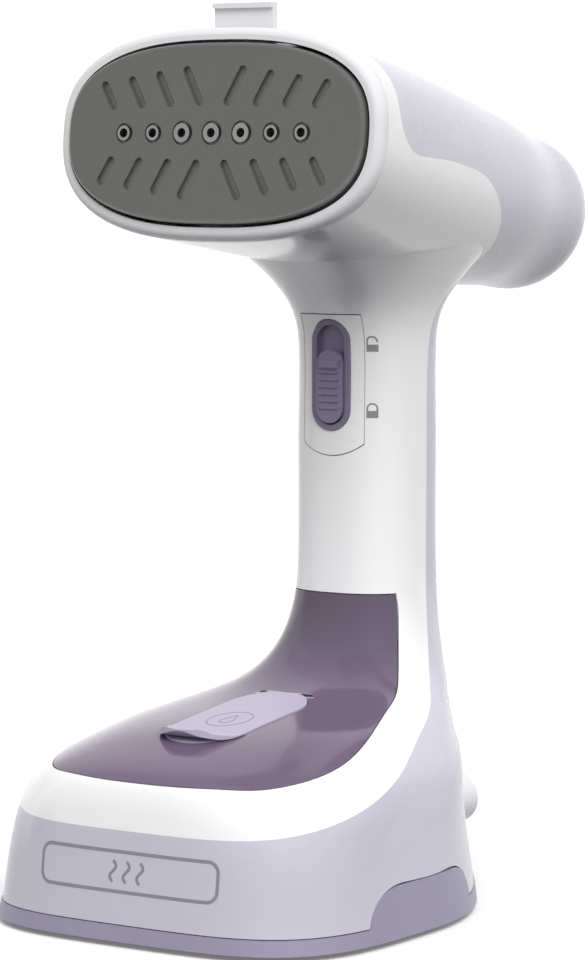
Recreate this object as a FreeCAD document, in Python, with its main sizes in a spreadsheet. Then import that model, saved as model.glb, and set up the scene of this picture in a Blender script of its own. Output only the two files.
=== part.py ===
import FreeCAD, Part
import math
import os
import Sketcher
from types import SimpleNamespace
from FreeCAD import Placement, Rotation, Vector

# Garment steamer. Millimetres, +Z up, front towards -Y.
# The pieces are drawn about the handle's axis (X = Y = 0) and the underside of the base strip (Z = 0).
# Every piece is then set back and lifted by one placement, which puts the origin on the surface that the
# steamer stands on, under the middle of its overall length.

SIZES = [
    # base and handle
    ("base_width", 127.6, "width of the skirt at its foot"),
    ("base_front", 130.0, "skirt's front, from the handle's axis"),
    ("base_rear", 36.5, "heel behind the handle's axis, at the foot"),
    ("flare_top", 90.0, "height where the base has become the handle"),
    ("handle_width", 39.4, "handle, side to side"),
    ("handle_depth", 41.2, "handle, front to back"),
    ("neck_start", 166.0, "height where the handle starts to widen into the head"),
    ("wall", 2.4, "wall of the shells"),
    ("tank_wall", 2.0, "wall of the water tank"),
    # head
    ("head_width", 114.6, "head at its front ring"),
    ("head_height", 63.0, "head at its front ring"),
    ("head_front", 78.5, "front ring's plane, from the handle's axis"),
    ("head_level", 230.6, "middle of the front ring"),
    ("head_rear", 104.9, "tip of the dome, from the handle's axis"),
    ("head_drop", 27.3, "fall of the head's axis from the ring to the dome"),
    ("tail_radius", 25.7, "head before its dome"),
    ("dome_length", 23.0, "rounded end of the head"),
    ("ring_tilt", 5.6, "lean of the steam plate, degrees"),
    # base strip, feet, screws
    ("strip_height", 4.5, "visible strip round the foot"),
    ("strip_proud", 0.4, "strip outside the skirt"),
    ("floor", 2.4, "floor of the base plate"),
    ("panel_top", 15.0, "top of the raised side panels"),
    ("panel_front", 93.0, "front end of the side panels"),
    ("panel_rear", 36.0, "rear end of the side panels"),
    ("foot_height", 1.8, "rubber feet below the strip"),
    ("foot_radius", 8.0, "rubber feet"),
    ("foot_spread", 44.0, "front feet from the middle plane"),
    ("heel_spread", 20.0, "rear feet from the middle plane"),
    ("foot_front", 104.0, "front feet before the handle's axis"),
    ("foot_back", 4.0, "rear feet behind the handle's axis"),
    ("screw_radius", 1.5, "self-tapping screws"),
    ("screw_length", 12.0, "self-tapping screws"),
    ("boss_radius", 4.0, "screw bosses"),
    ("seam", 0.3, "gap between neighbouring mouldings"),
    # tank and its flap
    ("tank_floor", 33.0, "underside of the tank"),
    ("tank_top", 90.1, "top edge of the tank on the handle"),
    ("tank_back", 12.3, "tank's rear face before the handle's axis"),
    ("tank_reach", 121.6, "tank's front edge before the handle's axis"),
    ("tank_half", 46.1, "tank's widest half width"),
    ("flap_width", 26.5, "fill flap"),
    ("flap_front", 99.0, "front end of the fill flap"),
    ("flap_rear", 44.5, "rear end of the fill flap"),
    ("flap_thick", 2.0, "fill flap"),
    ("lip_height", 4.6, "lip that a finger lifts"),
    ("lip_round", 11.0, "middle of the lip's round end behind the flap's front"),
    ("port_radius", 8.0, "fill port"),
    ("port_place", 80.0, "fill port before the handle's axis"),
    ("outlet_radius", 5.0, "tank outlet"),
    ("outlet_place", 24.0, "tank outlet before the handle's axis"),
    # steam plate
    ("plate_width", 104.6, "steam plate"),
    ("plate_height", 53.0, "steam plate"),
    ("plate_thick", 5.0, "steam plate"),
    ("plate_proud", 2.0, "steam plate before the bezel"),
    ("plate_gap", 1.0, "shadow gap round the steam plate"),
    ("bezel_front", 3.8, "bezel's face before the ring's plane"),
    ("nozzle_pitch", 10.5, "row of steam nozzles"),
    ("nozzle_radius", 2.8, "three middle nozzles"),
    ("outer_nozzle", 2.2, "four outer nozzles"),
    ("nozzle_bore", 1.4, "steam holes"),
    ("slot_width", 2.8, "slots in the plate"),
    ("slot_depth", 1.2, "slots in the plate"),
    # boiler
    ("boiler_width", 84.0, "boiler block"),
    ("boiler_height", 34.0, "boiler block"),
    ("boiler_depth", 20.0, "boiler block"),
    ("cover_thick", 3.0, "boiler cover"),
    ("element_radius", 3.2, "heating element's sheath"),
    ("gasket_thick", 1.5, "gasket behind the steam plate"),
    # trigger and lock
    ("trigger_width", 21.6, "trigger panel"),
    ("trigger_bottom", 132.8, "lower end of the trigger panel"),
    ("trigger_top", 176.0, "upper end of the trigger panel"),
    ("trigger_wall", 2.0, "trigger panel"),
    ("trigger_pivot", 171.5, "height of the trigger's pin"),
    ("pin_radius", 1.2, "trigger pin"),
    ("pin_clearance", 0.05, "running fit of the pins"),
    ("lock_height", 34.4, "lock bezel"),
    ("lock_width", 13.5, "lock bezel"),
    ("lock_level", 157.5, "middle of the lock bezel"),
    ("slider_height", 22.4, "lock slider"),
    ("slider_width", 9.5, "lock slider"),
    ("slider_travel", 7.2, "lock slider"),
    # hook and gland
    ("hook_width", 21.0, "hook tab"),
    ("hook_rise", 10.1, "hook tab above its pin"),
    ("hook_thick", 2.2, "hook tab"),
    ("gland_radius", 8.0, "cord gland"),
    ("gland_bore", 3.6, "cord gland"),
    ("gland_end", 57.0, "cord gland's rear end"),
    ("gland_level", 16.0, "cord gland's axis"),
    # pump and board in the base
    ("pump_radius", 9.0, "pump's barrel"),
    ("pump_length", 44.0, "pump's barrel"),
    ("pump_side", 20.0, "pump's axis from the middle plane"),
    ("pump_back", 20.0, "pump's rear end before the handle's axis"),
    ("mount_radius", 13.0, "rubber mounts of the pump"),
    ("hose_radius", 3.0, "steam hose"),
    ("hose_bore", 1.5, "steam hose"),
    ("board_width", 25.0, "control board"),
    ("board_length", 47.0, "control board"),
    ("board_side", 8.5, "control board's near edge from the middle plane"),
    ("board_back", 22.5, "control board's rear edge before the handle's axis"),
    ("board_thick", 1.6, "control board"),
    ("board_level", 8.0, "control board's underside"),
    ("board_inset", 3.0, "board screws from the board's edges"),
]

doc = FreeCAD.newDocument("GarmentSteamer")
sheet = doc.addObject("Spreadsheet::Sheet", "Sizes")
for row, (alias, value, note) in enumerate(SIZES, start=1):
    sheet.set("A%d" % row, alias)
    sheet.set("B%d" % row, str(value))
    sheet.setAlias("B%d" % row, alias)
    sheet.set("C%d" % row, note)
doc.recompute()
S = SimpleNamespace(**{alias: float(getattr(sheet, alias)) for alias, value, note in SIZES})

SETBACK = (S.base_front + S.strip_proud - S.head_rear) / 2
STAND = Vector(0, SETBACK, S.foot_height)
SETBACK_TEXT = "(Sizes.base_front + Sizes.strip_proud - Sizes.head_rear) / 2"
RING_POINTS = 72
FAR = 400.0

parts = []


def finish(piece, name):
    """Name a piece and keep it for the files."""
    piece.Label = name
    parts.append(piece)
    return piece


def feature(name, shape, placement=None):
    """A free-form piece; its shape is drawn about the handle's axis."""
    piece = doc.addObject("Part::Feature", "Form_" + name)
    piece.Shape = shape
    local = placement or Placement()
    piece.Placement = Placement(STAND, Rotation()).multiply(local).multiply(shape.Placement)
    return finish(piece, name)


# ---------------------------------------------------------------- outer form

# The base flows up into the handle. Each row is one level ring: its height as a share of flare_top, and its
# front, side and rear as shares of the way from the handle's outline to the foot's. "middle" is the widest
# place as a share of base_front, and "front_power" and "rear_power" square the ring's two ends. "pinch" draws
# the rear corners in, so that the sides run nearly straight to the heel.
# height, front, side, rear, middle, front_power, rear_power, pinch
FLARE = [
    (0.000, 1.000, 1.000, 1.000, 0.470, 3.80, 2.00, 0.123),
    (0.167, 0.982, 0.957, 0.780, 0.465, 3.80, 2.00, 0.123),
    (0.333, 0.966, 0.909, 0.560, 0.445, 3.70, 2.00, 0.130),
    (0.400, 0.956, 0.889, 0.440, 0.420, 3.50, 2.00, 0.140),
    (0.444, 0.947, 0.866, 0.350, 0.395, 3.30, 2.00, 0.145),
    (0.478, 0.936, 0.841, 0.290, 0.380, 3.10, 2.00, 0.145),
    (0.511, 0.915, 0.800, 0.230, 0.360, 2.85, 2.00, 0.140),
    (0.533, 0.886, 0.760, 0.195, 0.345, 2.70, 2.00, 0.130),
    (0.556, 0.840, 0.710, 0.150, 0.330, 2.55, 2.00, 0.120),
    (0.578, 0.780, 0.655, 0.110, 0.307, 2.50, 2.00, 0.110),
    (0.600, 0.707, 0.596, 0.075, 0.277, 2.45, 2.00, 0.100),
    (0.622, 0.600, 0.528, 0.040, 0.240, 2.40, 2.00, 0.090),
    (0.644, 0.457, 0.449, 0.006, 0.190, 2.35, 2.00, 0.080),
    (0.667, 0.310, 0.370, -0.025, 0.140, 2.35, 2.00, 0.070),
    (0.700, 0.191, 0.279, -0.044, 0.085, 2.40, 2.00, 0.045),
    (0.756, 0.104, 0.184, -0.050, 0.045, 2.45, 2.05, 0.015),
    (0.867, 0.035, 0.079, -0.025, 0.015, 2.50, 2.25, 0.000),
    (1.000, 0.006, 0.018, 0.000, 0.000, 2.60, 2.50, 0.000),
    (1.160, 0.000, 0.001, 0.000, 0.000, 2.60, 2.60, 0.000),
]
HANDLE_POWER = 2.6
# The neck: rise above neck_start, then how far its side, front and rear stand outside the handle.
NECK = [
    (0.0, 0.0, 0.0, 0.0),
    (6.0, 0.4, 0.8, 0.6),
    (12.0, 1.8, 3.2, 2.8),
    (18.0, 4.6, 8.0, 7.5),
    (24.0, 8.3, 15.5, 14.0),
    (30.0, 12.0, 25.5, 21.5),
    (36.0, 14.0, 37.0, 27.5),
    (41.0, 14.5, 46.0, 30.0),
]
RING_POWER = 2.6
HEAD_BULGE = 2.75
TAIL_TILT = 9.8
DOME_POWER = 2.8


def evenly_spaced(points, count):
    """The same closed outline with its points at equal distances."""
    lengths = [0.0]
    closed = points + points[:1]
    for a, b in zip(closed, closed[1:]):
        lengths.append(lengths[-1] + (b - a).Length)
    spaced = []
    index = 0
    for step in range(count):
        target = lengths[-1] * step / count
        while lengths[index + 1] < target:
            index += 1
        share = (target - lengths[index]) / (lengths[index + 1] - lengths[index])
        spaced.append(closed[index] + (closed[index + 1] - closed[index]) * share)
    return spaced


def ring_curve(points):
    """A smooth closed curve through evenly spaced points."""
    curve = Part.BSplineCurve()
    curve.interpolate(Points=points, PeriodicFlag=True, Parameters=[float(i) for i in range(len(points) + 1)])
    return curve


def smooth_ring(points):
    """A smooth closed wire through the outline."""
    return Part.Wire(ring_curve(evenly_spaced(points, RING_POINTS)).toShape())


def ring_solid(outlines):
    """A solid whose smooth side passes through closed outlines, closed by a flat face at each end."""
    rings = [evenly_spaced(outline, RING_POINTS) for outline in outlines]
    curves = [ring_curve(ring) for ring in rings]
    heights = [0.0]
    for one, two in zip(rings, rings[1:]):
        gaps = [(b - a).Length for a, b in zip(one, two)]
        heights.append(heights[-1] + sum(gaps) / len(gaps))
    columns = []
    for poles in zip(*[curve.getPoles() for curve in curves]):
        column = Part.BSplineCurve()
        column.interpolate(Points=list(poles), Parameters=heights)
        columns.append(column)
    surface = Part.BSplineSurface()
    surface.buildFromPolesMultsKnots(
        [column.getPoles() for column in columns],
        curves[0].getMultiplicities(), columns[0].getMultiplicities(),
        curves[0].getKnots(), columns[0].getKnots(), True, False, 3, 3)
    faces = [surface.toShape()]
    for curve in (curves[0], curves[-1]):
        faces.append(Part.Face(Part.Wire(curve.toShape())))
    shell = Part.Shell(faces)
    shell.sewShape()
    solid = Part.makeSolid(Part.Shell(shell.Faces))
    if solid.Volume < 0:
        solid.reverse()
    return solid


def power_radius(angle, power):
    """Radius of a unit superellipse in the direction of an angle."""
    return (abs(math.cos(angle)) ** power + abs(math.sin(angle)) ** power) ** (-1.0 / power)


def superellipse(half_width, half_height, power):
    """Points of a superellipse as (across, up) pairs."""
    pairs = []
    for step in range(360):
        angle = math.radians(step) - math.pi / 2
        radius = power_radius(angle, power)
        pairs.append((half_width * radius * math.cos(angle), half_height * radius * math.sin(angle)))
    return pairs


def level_ring(height, front, side, rear, middle, front_power, rear_power, pinch):
    """One level ring of the base and handle; front and rear are distances from the handle's axis."""
    points = []
    for step in range(360):
        angle = math.radians(step) - math.pi / 2
        ahead = math.sin(angle) < 0
        depth = front + middle if ahead else rear - middle
        radius = power_radius(angle, front_power if ahead else rear_power)
        if not ahead:
            radius *= 1 - pinch * math.sin(2 * angle) ** 2
        points.append(Vector(side * radius * math.cos(angle), middle + depth * radius * math.sin(angle), height))
    return points


def stem_form(inset):
    """The base, handle and neck in one solid, with its surface moved inwards by inset."""
    hand_side = S.handle_width / 2
    hand_depth = S.handle_depth / 2
    rings = []
    for height, front, side, rear, middle, front_power, rear_power, pinch in FLARE:
        level = height * S.flare_top
        if 0.3 < height < 1.1:
            level -= inset
        rings.append(level_ring(
            level,
            hand_depth + (S.base_front - hand_depth) * front - inset,
            hand_side + (S.base_width / 2 - hand_side) * side - inset,
            hand_depth + (S.base_rear - hand_depth) * rear - inset,
            -S.base_front * middle, front_power, rear_power, pinch))
    start = FLARE[-1][0] * S.flare_top
    straight = [start + (S.neck_start - start) * share for share in (0.33, 0.67)]
    for level in straight:
        rings.append(level_ring(level, hand_depth - inset, hand_side - inset, hand_depth - inset, 0,
                                HANDLE_POWER, HANDLE_POWER, 0))
    for rise, side, front, rear in NECK:
        rings.append(level_ring(S.neck_start + rise, hand_depth + front - inset, hand_side + side - inset,
                                hand_depth + rear - inset, 0, HANDLE_POWER, HANDLE_POWER, 0))
    return ring_solid(rings)


def head_ring(along, shrink, inset):
    """A section of the head; along runs from 0 at the front ring to 1 at the start of the dome."""
    length = S.head_rear - S.dome_length + S.head_front
    fall = S.head_drop / (S.head_rear + S.head_front)
    tilt = math.radians(S.ring_tilt + (TAIL_TILT - S.ring_tilt) * min(along, 1.0))
    swell = HEAD_BULGE * math.sin(math.pi * min(max(along, 0.0), 1.0))
    half_width = S.head_width / 2 + (S.tail_radius - S.head_width / 2) * min(along, 1.0)
    half_height = S.head_height / 2 + (S.tail_radius - S.head_height / 2) * min(along, 1.0) + swell
    power = RING_POWER + (2.0 - RING_POWER) * min(along, 1.0)
    centre_y = -S.head_front + along * length
    centre_z = S.head_level - along * length * fall
    points = []
    for across, up in superellipse((half_width - inset) * shrink, (half_height - inset) * shrink, power):
        points.append(Vector(across, centre_y + up * math.sin(tilt), centre_z + up * math.cos(tilt)))
    return points


def head_form(inset, start=0.0):
    """The head in one solid, from its front ring (or a little before it) to the tip of its dome."""
    length = S.head_rear - S.dome_length + S.head_front
    rings = [head_ring(start, 1.0, inset)]
    for along in (0.17, 0.34, 0.5, 0.67, 0.84, 1.0):
        rings.append(head_ring(along, 1.0, inset))
    for share in (0.25, 0.45, 0.62, 0.76, 0.87, 0.94, 0.98, 0.999):
        along = 1.0 + share * (S.dome_length - inset) / length
        rings.append(head_ring(along, (1 - share ** DOME_POWER) ** (1 / DOME_POWER), inset))
    return ring_solid(rings)


def prism(points, direction, closing=None):
    """An outline of (a, b) pairs swept both ways along "x", "y" or "z".

    With closing given, a smooth curve runs through the points and straight lines through closing.
    """
    places = {
        "x": lambda a, b: Vector(-FAR, a, b),
        "y": lambda a, b: Vector(a, -FAR, b),
        "z": lambda a, b: Vector(a, b, -FAR),
    }
    sweep = {"x": Vector(2 * FAR, 0, 0), "y": Vector(0, 2 * FAR, 0), "z": Vector(0, 0, 2 * FAR)}
    corners = [places[direction](a, b) for a, b in points]
    if closing is None:
        wire = Part.makePolygon(corners + corners[:1])
    else:
        curve = Part.BSplineCurve()
        curve.interpolate(Points=corners)
        straight = [corners[-1]] + [places[direction](a, b) for a, b in closing] + [corners[0]]
        wire = Part.Wire([curve.toShape()] + Part.makePolygon(straight).Edges)
    return Part.Face(wire).extrude(sweep[direction])


def rounded_plate(width, height, radius, low, high):
    """A plate with rounded corners in the X-Z plane, between two distances along Y."""
    a = width / 2 - radius
    b = height / 2 - radius
    cos45 = math.sqrt(0.5) * radius
    corners = []
    for sx, sz in ((1, 1), (-1, 1), (-1, -1), (1, -1)):
        first = Vector(sx * width / 2, 0, sz * b) if sx * sz > 0 else Vector(sx * a, 0, sz * height / 2)
        last = Vector(sx * a, 0, sz * height / 2) if sx * sz > 0 else Vector(sx * width / 2, 0, sz * b)
        corners.append((first, Vector(sx * (a + cos45), 0, sz * (b + cos45)), last))
    edges = []
    for index, (first, middle, last) in enumerate(corners):
        edges.append(Part.Arc(first, middle, last).toShape())
        following = corners[(index + 1) % 4][0]
        if (following - last).Length > 1e-6:
            edges.append(Part.makeLine(last, following))
    face = Part.Face(Part.Wire(edges))
    face.translate(Vector(0, low, 0))
    return face.extrude(Vector(0, high - low, 0))


outer = stem_form(0).fuse(head_form(0))
inner = stem_form(S.wall).fuse(head_form(S.wall, -0.02))

# ---------------------------------------------------------------- where the shells, tank and strip meet

# The line between the white front and the lavender rear, seen from the side as (Y, Z).
band_edge = [
    (-S.base_front - 12, 31.4), (-S.base_front + 4, 31.5), (-112.0, 33.4), (-98.0, 36.0), (-84.0, 39.4),
    (-61.0, 47.6), (-45.0, 52.9), (-29.0, 57.2), (-12.0, 64.4), (-3.0, 75.0), (1.6, 88.0), (3.0, 102.0),
    (3.4, 130.0), (4.0, 160.0), (7.5, 176.0), (14.0, 184.0), (21.5, 188.5), (25.0, 194.5), (23.5, 201.0),
    (19.5, 207.0), (12.5, 213.0), (2.5, 218.0), (-12.0, 221.0), (-29.0, 223.0), (-46.0, 224.0),
    (-62.0, 227.5), (-68.0, 235.0), (-66.5, 246.0), (-61.5, 262.0), (-60.0, 285.0),
]
front_side = prism(band_edge, "x", closing=[(-S.base_front - 12, 285.0)])

# The tank's outline from above: its right edge as (X, Y), then mirrored.
tank_edge = [
    (0.0, -S.tank_reach), (17.0, -S.tank_reach + 0.9), (27.0, -S.tank_reach + 3.4), (36.0, -S.tank_reach + 8.0),
    (42.5, -S.tank_reach + 16.5), (S.tank_half, -91.0), (S.tank_half - 2.0, -72.0), (S.tank_half - 7.0, -56.0),
    (S.tank_half - 12.2, -42.0), (28.6, -28.0), (22.6, -17.8), (19.0, -S.tank_back),
]


def tank_prism(grow):
    """The tank's outline swept upwards, moved outwards by grow."""
    right = []
    for before, (x, y), after in zip(tank_edge[:-2], tank_edge[1:-1], tank_edge[2:]):
        run = Vector(after[0] - before[0], after[1] - before[1], 0).normalize()
        right.append((x + grow * run.y, y - grow * run.x))
    right.append((tank_edge[-1][0] + grow, -S.tank_back + grow))
    left = [(-x, y) for x, y in reversed(right)] + [(0.0, -S.tank_reach - grow)]
    return prism(left + right, "z", closing=[])


def slab(low, high):
    """Everything between two heights."""
    return Part.makeBox(2 * FAR, 2 * FAR, high - low, Vector(-FAR, -FAR, low))


def panel_prism(grow):
    """Side view of the raised side panels."""
    top = S.panel_top + grow
    front = -S.panel_front - grow
    rear = -S.panel_rear + grow
    outline = [
        (front - 2.4, -1.0), (front - 1.6, 4.0), (front + 0.4, 8.6), (front + 4.0, 12.2), (front + 9.4, top - 0.6),
        (front + 22.0, top), (rear - 20.0, top), (rear - 8.0, top - 0.5), (rear - 3.2, 12.2), (rear - 0.2, 8.2),
        (rear + 1.4, 4.0), (rear + 1.8, -1.0),
    ]
    return prism(outline, "x", closing=[])


tank_room = tank_prism(S.seam).common(slab(S.tank_floor - S.seam, S.tank_top + S.seam))
strip_room = slab(-1.0, S.strip_height + S.seam).fuse(panel_prism(S.seam))


def trigger_prism(grow):
    """The trigger panel's outline from the front: straight sides, rounded lower end."""
    half = S.trigger_width / 2 + grow
    top = S.trigger_top + grow
    bottom = S.trigger_bottom - grow
    drop = half * 0.35
    points = [Vector(-half, 0, top), Vector(-half, 0, bottom + drop)]
    arc = Part.Arc(points[1], Vector(0, 0, bottom), Vector(half, 0, bottom + drop))
    sides = Part.makePolygon([Vector(half, 0, bottom + drop), Vector(half, 0, top), points[0], points[1]])
    face = Part.Face(Part.Wire(sides.Edges + [arc.toShape()]))
    face.translate(Vector(0, -S.handle_depth, 0))
    return face.extrude(Vector(0, S.handle_depth - 9.0, 0))


# ---------------------------------------------------------------- shells

HOOK_PIVOT = Vector(0, -66.5, S.head_level + S.head_height / 2 - 2.9)
HOOK_PIN = 1.0
hook_slot = Part.makeBox(S.hook_width + 0.8, 15.0, 8.0,
                         Vector(-S.hook_width / 2 - 0.4, HOOK_PIVOT.y - 3.2, HOOK_PIVOT.z - 3.6))
gland_hole = Part.makeCylinder(S.gland_radius + 0.1, 60, Vector(0, 10, S.gland_level), Vector(0, 1, 0))
TRIGGER_PIN = Vector(0, -S.handle_depth / 2 + 5.6, S.trigger_pivot)
trigger_pin_half = S.trigger_width / 2 + 1.8


def rod(radius, half_length, middle):
    """A rod along X."""
    return Part.makeCylinder(radius, 2 * half_length, middle - Vector(half_length, 0, 0), Vector(1, 0, 0))


boss_places = [(52.0, -95.0), (-52.0, -95.0), (42.0, -47.0), (-42.0, -47.0)]
bosses = []
screws = []
base_holes = []
for x, y in boss_places:
    post = Part.makeCylinder(S.boss_radius, 80, Vector(x, y, S.floor))
    pilot = Part.makeCylinder(S.screw_radius + 0.02, S.screw_length, Vector(x, y, S.floor - 1))
    bosses.append(post.common(inner).cut(pilot))
    shank = Part.makeCylinder(S.screw_radius, S.screw_length - 0.5, Vector(x, y, 0.6))
    head = Part.makeCylinder(S.screw_radius * 1.9, 1.2, Vector(x, y, 0.3))
    screws.append(shank.fuse(head).removeSplitter())
    recess = Part.makeCylinder(S.screw_radius * 1.9 + 0.15, 1.7, Vector(x, y, -0.1))
    base_holes.append(recess.fuse(Part.makeCylinder(S.screw_radius + 0.1, 4, Vector(x, y, 0))))

hook_room = hook_slot.fuse(rod(HOOK_PIN + 0.02, S.hook_width / 2 + 3.02, HOOK_PIVOT))
front_shell = outer.copy().common(front_side.copy()).cut(inner.copy()).cut(hook_room).cut(tank_room).cut(trigger_prism(S.seam))
front_shell = front_shell.cut(rod(S.pin_radius + 0.02, trigger_pin_half + 0.02, TRIGGER_PIN))
front_shell = front_shell.fuse(bosses).removeSplitter()
rear_shell = outer.copy().cut(front_side.copy()).cut(inner.copy()).cut(strip_room).cut(gland_hole).cut(hook_slot)


def largest(shape):
    """The one big solid of a result, without loose slivers, facing outwards."""
    solid = max(shape.Solids, key=lambda one: abs(one.Volume))
    if solid.Volume < 0:
        solid = Part.makeSolid(solid.Shells[0].reversed())
    return solid


feature("front_shell", largest(front_shell))
feature("rear_shell", largest(rear_shell))

# ---------------------------------------------------------------- base plate

proud = stem_form(-S.strip_proud)
strip = proud.common(slab(0, S.strip_height).fuse(panel_prism(0).common(slab(0, S.panel_top))))
hollow = stem_form(S.wall).common(slab(S.floor, S.flare_top))
base_plate = strip.cut(hollow).cut(Part.makeCompound(base_holes))
board_posts = []
board_screws = []
for across in (S.board_inset, S.board_width - S.board_inset):
    for along in (S.board_inset, S.board_length - S.board_inset):
        x = S.board_side + across
        y = -S.board_back - along
        post = Part.makeCylinder(2.8, S.board_level - S.floor, Vector(x, y, S.floor))
        board_posts.append(post.cut(Part.makeCylinder(1.02, 5.0, Vector(x, y, S.board_level - 5.0))))
        shank = Part.makeCylinder(1.0, 4.5 + S.board_thick, Vector(x, y, S.board_level - 4.5))
        cap = Part.makeCylinder(2.0, 1.4, Vector(x, y, S.board_level + S.board_thick))
        board_screws.append(shank.fuse(cap).removeSplitter())
base_plate = base_plate.fuse(board_posts).removeSplitter()
feature("base_plate", largest(base_plate))
feature("base_screws", Part.makeCompound(screws))
feature("board_screws", Part.makeCompound(board_screws))

# ---------------------------------------------------------------- water tank

FLAP_LENGTH = S.flap_front - S.flap_rear
FLAP_MIDDLE = -(S.flap_front + S.flap_rear) / 2


def flap_prism(grow):
    """The flap's outline from above: an oblong with fully rounded ends."""
    face = rounded_plate(S.flap_width + 2 * grow, FLAP_LENGTH + 2 * grow, S.flap_width / 2 + grow - 0.01, -FAR, FAR)
    face.rotate(Vector(0, 0, 0), Vector(1, 0, 0), 90)
    face.translate(Vector(0, FLAP_MIDDLE, 0))
    return face


def lowered(form, depth):
    """A form moved down."""
    copy = form.copy()
    copy.translate(Vector(0, 0, -depth))
    return copy


stem = stem_form(0)
tank_body = stem.common(tank_prism(0).common(slab(S.tank_floor, S.tank_top)))
tank_inside = stem_form(S.tank_wall + 0.6).common(
    tank_prism(-S.tank_wall).common(slab(S.tank_floor + S.tank_wall, S.tank_top - S.tank_wall)))
flap_seat = flap_prism(S.seam).cut(lowered(stem, S.flap_thick + 0.2)).common(slab(40, 80))
seat_bed = flap_prism(2.0).common(lowered(stem, S.flap_thick + 0.2)).cut(lowered(stem, S.flap_thick + 2.6))
port = Part.makeCylinder(S.port_radius, 30, Vector(0, -S.port_place, 40))
outlet = Part.makeCylinder(S.outlet_radius - 1.6, 12, Vector(0, -S.outlet_place, S.tank_floor - 7))
outlet_neck = Part.makeCylinder(S.outlet_radius, 5.0, Vector(0, -S.outlet_place, S.tank_floor - 5.0))
def deck(y):
    """Height of the top surface on the middle plane."""
    line = Part.makeLine(Vector(0, y, S.tank_floor), Vector(0, y, S.tank_top))
    return line.common(stem).BoundBox.ZMax


FLAP_PIN_Y = -S.flap_rear - 1.7
FLAP_PIN = Vector(0, FLAP_PIN_Y, deck(FLAP_PIN_Y) - 0.9)
FLAP_PIN_RADIUS = 0.8
flap_pin_half = 10.8
FLAP_HEEL = 1.7
hinge_pocket = flap_prism(S.seam).common(
    Part.makeBox(S.flap_width, 6.0, 12.0, Vector(-S.flap_width / 2, FLAP_PIN.y - 3.0, FLAP_PIN.z - 2.3)))
hinge_pocket = hinge_pocket.fuse(rod(FLAP_HEEL + S.seam, flap_pin_half - 1.4, FLAP_PIN))
tank_body = tank_body.cut(tank_inside).cut(flap_seat).fuse(seat_bed.common(slab(40, 75)))
tank_body = tank_body.cut(flap_seat).cut(hinge_pocket).cut(rod(FLAP_PIN_RADIUS + 0.02, flap_pin_half, FLAP_PIN))
tank_body = tank_body.fuse(outlet_neck).cut(port).cut(outlet)
feature("water_tank", largest(tank_body))

seal_low = S.tank_floor - 3.0
seal_tool = Part.makeCylinder(S.outlet_radius, 2.6, Vector(0, -S.outlet_place, seal_low))
tank_seal = Part.makeCylinder(S.outlet_radius + 1.8, 2.6, Vector(0, -S.outlet_place, seal_low)).cut(seal_tool)
feature("tank_seal", tank_seal)
filter_base = Vector(0, -S.outlet_place, S.tank_floor + S.tank_wall)
tank_filter = Part.makeCylinder(S.outlet_radius, 6.0, filter_base)
tank_filter = tank_filter.cut(Part.makeCylinder(S.outlet_radius - 1.0, 5.0, filter_base))
for turn in range(6):
    window = Part.makeBox(1.6, 2 * S.outlet_radius, 3.0, Vector(-0.8, 0, 1.0))
    window.rotate(Vector(0, 0, 0), Vector(0, 0, 1), 60 * turn)
    window.translate(filter_base)
    tank_filter = tank_filter.cut(window)
feature("tank_filter", largest(tank_filter))

# ---------------------------------------------------------------- fill flap

flap = flap_prism(0).common(lowered(stem, -0.35)).cut(lowered(stem, S.flap_thick - 0.1)).common(slab(40, 80))
lip_points = [(12.0, 0.05), (7.0, 0.15), (3.0, 0.7), (0.0, 1.9), (-2.2, S.lip_height - 0.9), (-2.6, S.lip_height),
              (-1.4, S.lip_height + 0.1), (0.6, 3.2), (3.6, 1.8), (7.0, 0.8), (12.0, 0.34)]
lip_outline = [(-S.flap_front + ahead, deck(-S.flap_front + ahead) + up) for ahead, up in lip_points]
lip_round = Part.makeCylinder(S.flap_width / 2 + 0.4, FAR, Vector(0, -S.flap_front + S.lip_round, 0))
lip = prism(lip_outline, "x", closing=[]).common(lip_round)
knuckle = rod(FLAP_HEEL - 0.1, 6.0, FLAP_PIN).common(flap_prism(0))
heel_room = Part.makeBox(S.flap_width, 8.0, 16.0, FLAP_PIN - Vector(S.flap_width / 2, 0, 8))
heel_room = heel_room.cut(rod(FLAP_HEEL, S.flap_width, FLAP_PIN))
flap = flap.fuse(lip).cut(heel_room).fuse(knuckle).cut(rod(FLAP_PIN_RADIUS + S.pin_clearance, 30, FLAP_PIN)).removeSplitter()
feature("fill_flap", largest(flap))
feature("flap_pin", rod(FLAP_PIN_RADIUS, flap_pin_half, FLAP_PIN))
plug_top = deck(-S.port_place) - S.flap_thick - 0.9
plug_stock = Part.makeCylinder(S.port_radius - 1.0, 20, Vector(0, -S.port_place, plug_top - 4.0))
plug_well = Part.makeCylinder(S.port_radius - 2.5, 3.0, Vector(0, -S.port_place, plug_top - 4.0))
feature("fill_plug", largest(plug_stock.cut(plug_well).cut(flap_prism(1).cut(lowered(stem, S.flap_thick - 0.1)))))

# ---------------------------------------------------------------- head: bezel, plate, boiler

# Pieces behind the ring are drawn about its middle: local -Y is forwards, and local Z runs up the plate.
HEAD_FRAME = Placement(Vector(0, -S.head_front, S.head_level), Rotation(Vector(1, 0, 0), -S.ring_tilt))


def oval(half_width, half_height, y):
    """A superellipse wire in a plane square to the local Y axis."""
    return smooth_ring([Vector(a, y, b) for a, b in superellipse(half_width, half_height, RING_POWER)])


def oval_plug(half_width, half_height, front, back):
    """A straight oval block between two distances before the ring's plane."""
    return Part.makeLoft([oval(half_width, half_height, -front), oval(half_width, half_height, -back)], True)


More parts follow.
